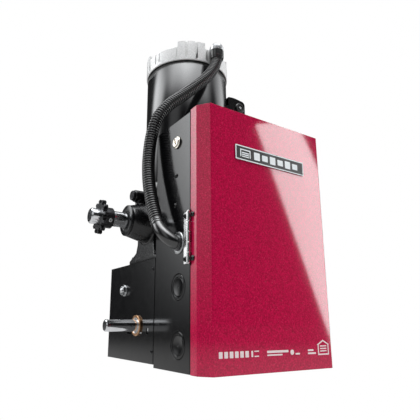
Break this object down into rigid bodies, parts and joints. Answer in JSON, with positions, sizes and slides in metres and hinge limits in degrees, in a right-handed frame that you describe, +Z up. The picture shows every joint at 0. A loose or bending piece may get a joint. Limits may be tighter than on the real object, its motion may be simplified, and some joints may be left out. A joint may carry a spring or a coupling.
{
  "type": "garage door opener",
  "caption": "Wall-mounted commercial gearhead door operator: hinged red control cabinet, vertical motor on a worm gearbox, sprocket output shaft, lower drive shaft, flexible conduit",
  "frame": {"origin": "middle of the drive housing's back face, which lies flat on the wall", "axes": "+X to the right facing the cover, +Y into the wall, +Z up along the motor"},
  "size_m": [0.3557, 0.3181, 0.606],
  "materials": {
    "red_paint": "crimson powder coat with a fine metallic fleck and light orange peel",
    "black_paint": "satin black powder coat on sheet steel",
    "motor_enamel": "gloss black enamel on rolled steel",
    "cast_black": "semi-gloss black paint over as-cast iron",
    "cast_aluminium": "as-cast, grainy",
    "bright_steel": "ground and polished shafting",
    "zinc_plate": "bright zinc plate",
    "nickel": "nickel plate",
    "black_oxide": "oiled black oxide",
    "bronze": "turned bronze, slightly coppery",
    "lamination_steel": "stacked lamination edges, varnished",
    "black_plastic": "moulded, fine texture",
    "conduit_black": "glossy black flexible conduit",
    "grey_plastic": "moulded",
    "circuit_board": "green solder mask",
    "green_plastic": "moulded",
    "red_plastic": "moulded",
    "ivory_plastic": "moulded acetal"
  },
  "bodies": {
    "root": {"enclosure_box": "black_paint", "knockout_upper": "black_paint", "knockout_lower": "black_paint", "drive_housing": "black_paint", "chain_guard": "black_paint", "motor_shell": "motor_enamel", "motor_flange": "motor_enamel", "capacitor_cover": "motor_enamel", "gearbox_housing": "cast_black", "gearbox_cover": "cast_black", "end_bell": "cast_aluminium", "capacitor": "cast_aluminium", "hinge_leaf_box": "zinc_plate", "mounting_panel": "zinc_plate", "limit_bracket": "zinc_plate", "side_stud": "zinc_plate", "gland_washer": "zinc_plate", "conduit_locknut": "zinc_plate", "conduit_fitting": "zinc_plate", "antenna_jack": "nickel", "roller_chain": "black_oxide", "filler_plug": "black_oxide", "lower_bearing_left": "bronze", "lower_bearing_right": "bronze", "stator": "lamination_steel", "transformer": "lamination_steel", "contactor": "black_plastic", "limit_switch_open": "black_plastic", "limit_switch_close": "black_plastic", "conduit_nut": "black_plastic", "conduit": "conduit_black", "conduit_elbow": "conduit_black", "keypad_housing": "grey_plastic", "control_board": "circuit_board", "terminal_strip": "green_plastic"},
    "cover": {"front_cover": "red_paint", "hinge_leaf_cover": "zinc_plate", "badge_plate": "black_plastic"},
    "latch": {"cover_latch": "nickel"},
    "rotor": {"rotor_core": "lamination_steel", "motor_shaft": "bright_steel", "cooling_fan": "black_plastic"},
    "output": {"output_shaft": "bright_steel", "worm_wheel": "bronze", "drive_sprocket": "black_oxide", "chain_sprocket_upper": "black_oxide"},
    "lower": {"lower_shaft": "bright_steel", "chain_sprocket_lower": "black_oxide", "shaft_gear": "zinc_plate"},
    "idler": {"idler_gear": "zinc_plate"},
    "limit": {"limit_shaft": "zinc_plate"},
    "nut_open": {"limit_nut_open": "ivory_plastic"},
    "nut_close": {"limit_nut_close": "ivory_plastic"},
    "retainer": {"limit_plate": "zinc_plate"},
    "lever_open": {"switch_lever_open": "bright_steel"},
    "lever_close": {"switch_lever_close": "bright_steel"},
    "push_open": {"button_open": "green_plastic"},
    "push_stop": {"button_stop": "red_plastic"},
    "push_close": {"button_close": "ivory_plastic"},
    "dial": {"selector_dial": "black_plastic"}
  },
  "joints": [
    {"name": "cover_hinge", "type": "hinge", "parent": "root", "child": "cover", "pos_m": [-0.1292, -0.283, 0.104], "axis": [0, 0, 1], "range_deg": [-110, 0]},
    {"name": "latch_turn", "type": "hinge", "parent": "cover", "child": "latch", "pos_m": [0.126, -0.2912, 0.104], "axis": [1, 0, 0], "range_deg": [-90, 0]},
    {"name": "rotor_spin", "type": "hinge", "parent": "root", "child": "rotor", "pos_m": [-0.0098, -0.0882, 0.334], "axis": [0, 0, 1], "range_deg": [-131040, 131040]},
    {"name": "output_spin", "type": "hinge", "parent": "root", "child": "output", "pos_m": [-0.126, -0.1362, 0.1468], "axis": [1, 0, 0], "range_deg": [-4370, 4370]},
    {"name": "lower_spin", "type": "hinge", "parent": "root", "child": "lower", "pos_m": [-0.126, -0.1207, -0.024], "axis": [1, 0, 0], "range_deg": [-2914, 2914]},
    {"name": "idler_spin", "type": "hinge", "parent": "root", "child": "idler", "pos_m": [-0.093, -0.1687, -0.024], "axis": [1, 0, 0], "range_deg": [-2914, 2914]},
    {"name": "limit_spin", "type": "hinge", "parent": "root", "child": "limit", "pos_m": [-0.093, -0.2167, -0.024], "axis": [1, 0, 0], "range_deg": [-2914, 2914]},
    {"name": "nut_open_slide", "type": "slide", "parent": "root", "child": "nut_open", "axis": [1, 0, 0], "range_m": [-0.0162, 0.0162]},
    {"name": "nut_close_slide", "type": "slide", "parent": "root", "child": "nut_close", "axis": [1, 0, 0], "range_m": [-0.0162, 0.0162]},
    {"name": "retainer_lift", "type": "slide", "parent": "root", "child": "retainer", "axis": [0, 0, 1], "range_m": [0, 0.005], "stiffness_N_per_m": 200, "springref_m": -0.005},
    {"name": "lever_open_press", "type": "hinge", "parent": "root", "child": "lever_open", "pos_m": [-0.0585, -0.2167, -0.0415], "axis": [0, 1, 0], "range_deg": [-10, 0], "stiffness_Nm_per_rad": 0.05},
    {"name": "lever_close_press", "type": "hinge", "parent": "root", "child": "lever_close", "pos_m": [0.0465, -0.2167, -0.0415], "axis": [0, 1, 0], "range_deg": [0, 10], "stiffness_Nm_per_rad": 0.05},
    {"name": "button_open_press", "type": "slide", "parent": "root", "child": "push_open", "axis": [0, 1, 0], "range_m": [0, 0.002], "stiffness_N_per_m": 300},
    {"name": "button_stop_press", "type": "slide", "parent": "root", "child": "push_stop", "axis": [0, 1, 0], "range_m": [0, 0.002], "stiffness_N_per_m": 300},
    {"name": "button_close_press", "type": "slide", "parent": "root", "child": "push_close", "axis": [0, 1, 0], "range_m": [0, 0.002], "stiffness_N_per_m": 300},
    {"name": "dial_turn", "type": "hinge", "parent": "root", "child": "dial", "pos_m": [0.001, -0.2012, 0.244], "axis": [0, 1, 0], "range_deg": [-150, 150]}
  ],
  "couplings": [
    {"joint": "output_spin", "follows": "rotor_spin", "ratio": -0.033333},
    {"joint": "lower_spin", "follows": "rotor_spin", "ratio": -0.022222},
    {"joint": "idler_spin", "follows": "rotor_spin", "ratio": 0.022222},
    {"joint": "limit_spin", "follows": "rotor_spin", "ratio": -0.022222},
    {"joint": "nut_open_slide", "follows": "rotor_spin", "m_per_rad": -0.0000070736},
    {"joint": "nut_close_slide", "follows": "rotor_spin", "m_per_rad": -0.0000070736}
  ]
}
